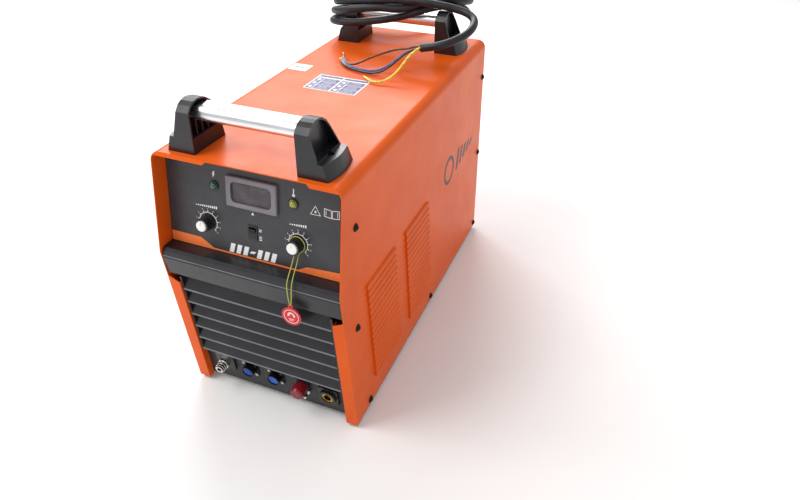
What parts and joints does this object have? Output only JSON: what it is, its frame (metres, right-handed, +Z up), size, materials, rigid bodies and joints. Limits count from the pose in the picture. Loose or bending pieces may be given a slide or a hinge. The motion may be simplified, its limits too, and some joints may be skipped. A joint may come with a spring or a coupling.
{
  "type": "plasma cutter power source",
  "caption": "Wheel-less plasma cutting inverter cabinet with lifting handles, tilted control face, louvred front, front connectors and a coiled mains lead.",
  "frame": {"origin": "on the floor under the middle of the cabinet, measured without the mains lead and the hang tag", "axes": "+X to the right seen from the front, +Y towards the rear, +Z up"},
  "size_m": [0.3396, 0.8288, 0.5767],
  "materials": {
    "orange_paint": "glossy orange stove enamel",
    "black_paint": "satin black powder coat",
    "zinc_steel": "zinc plated",
    "black_steel": "blackened steel",
    "bright_steel": "bright plated",
    "nickel_plate": "nickel plated brass",
    "brass": "turned brass",
    "bright_aluminium": "bright anodised",
    "raw_aluminium": "extruded",
    "black_rubber": "matte",
    "black_plastic": "lightly textured moulding",
    "fan_black": "glass-filled nylon",
    "knob_black": "satin phenolic",
    "cap_white": "satin",
    "overlay_film": "printed polycarbonate film",
    "meter_grey": "fine texture",
    "clear_window": "clear acrylic",
    "circuit_board": "solder mask",
    "green_lens": "translucent lens",
    "yellow_lens": "translucent lens",
    "red_plastic": "dark red phenolic",
    "blue_plastic": "moulded insulator",
    "breaker_grey": "moulded",
    "transformer_dark": "varnished core and winding",
    "cable_black": "smooth sheath",
    "core_brown": "insulation",
    "core_blue": "insulation",
    "core_black": "insulation",
    "core_earth": "yellow insulation with a green stripe",
    "string_green": "elastic string",
    "tag_card": "printed card"
  },
  "bodies": {
    "chassis": {"base_plate": "zinc_steel", "breaker_body": "breaker_grey", "connector_plate": "black_paint", "control_overlay": "overlay_film", "control_panel": "black_paint", "core_black": "core_black", "core_blue": "core_blue", "core_brown": "core_brown", "core_earth": "core_earth", "cover_screws": "black_steel", "cover_shell": "orange_paint", "earth_stud": "zinc_steel", "fan_frame": "fan_black", "fan_guard": "bright_steel", "fan_screws": "bright_steel", "front_visor": "black_plastic", "gas_inlet": "brass", "gas_outlet": "nickel_plate", "gas_outlet_pad": "black_plastic", "handle_mount_front_left": "black_plastic", "handle_mount_front_right": "black_plastic", "handle_mount_rear_left": "black_plastic", "handle_mount_rear_right": "black_plastic", "handle_tube_front": "bright_aluminium", "handle_tube_rear": "bright_aluminium", "heat_lamp": "yellow_lens", "heatsink": "raw_aluminium", "louvre_grille": "black_plastic", "main_transformer": "transformer_dark", "mains_cable_coil": "cable_black", "mains_cable_end": "cable_black", "mains_cable_tail": "cable_black", "mains_gland": "black_plastic", "meter_bezel": "meter_grey", "meter_module": "circuit_board", "meter_window": "clear_window", "mode_switch_body": "knob_black", "mount_screws": "black_steel", "pilot_terminal": "black_plastic", "potentiometers": "zinc_steel", "power_board": "circuit_board", "power_lamp": "green_lens", "rear_panel": "orange_paint", "rubber_feet": "black_rubber", "signal_inserts": "blue_plastic", "signal_socket_left": "black_steel", "signal_socket_right": "black_steel", "socket_screws": "bright_steel", "work_contact": "brass", "work_socket": "black_plastic"},
    "timer_knob": {"timer_knob": "knob_black", "timer_knob_cap": "cap_white"},
    "current_knob": {"current_knob": "knob_black", "current_knob_cap": "cap_white"},
    "mode_rocker": {"mode_rocker": "knob_black"},
    "pilot_knob": {"pilot_knob": "red_plastic"},
    "fan_rotor": {"fan_rotor": "fan_black"},
    "breaker_toggle": {"breaker_toggle": "knob_black"},
    "hang_tag": {"tag_string": "string_green", "hang_tag": "tag_card"}
  },
  "joints": [
    {"name": "timer_knob_turn", "type": "hinge", "parent": "chassis", "child": "timer_knob", "pos_m": [-0.082, -0.30917, 0.347], "axis": [0, -0.9912, 0.1322], "range_deg": [-150, 150]},
    {"name": "current_knob_turn", "type": "hinge", "parent": "chassis", "child": "current_knob", "pos_m": [0.072, -0.30917, 0.347], "axis": [0, -0.9912, 0.1322], "range_deg": [-150, 150]},
    {"name": "mode_rocker_tilt", "type": "hinge", "parent": "chassis", "child": "mode_rocker", "pos_m": [-0.004, -0.30619, 0.3466], "axis": [1, 0, 0], "range_deg": [-16, 0]},
    {"name": "pilot_knob_turn", "type": "hinge", "parent": "chassis", "child": "pilot_knob", "pos_m": [0.052, -0.30263, 0.054], "axis": [0, -0.9932, -0.1164], "range_deg": [0, 720]},
    {"name": "fan_spin", "type": "hinge", "parent": "chassis", "child": "fan_rotor", "pos_m": [0, 0.293, 0.215], "axis": [0, 1, 0], "continuous": true},
    {"name": "breaker_toggle_flip", "type": "hinge", "parent": "chassis", "child": "breaker_toggle", "pos_m": [0.098, 0.3215, 0.395], "axis": [1, 0, 0], "range_deg": [0, 36]},
    {"name": "tag_swing", "type": "hinge", "parent": "chassis", "child": "hang_tag", "pos_m": [0.072, -0.31908, 0.34832], "axis": [0, -0.9912, 0.1322], "range_deg": [-25, 25]}
  ]
}
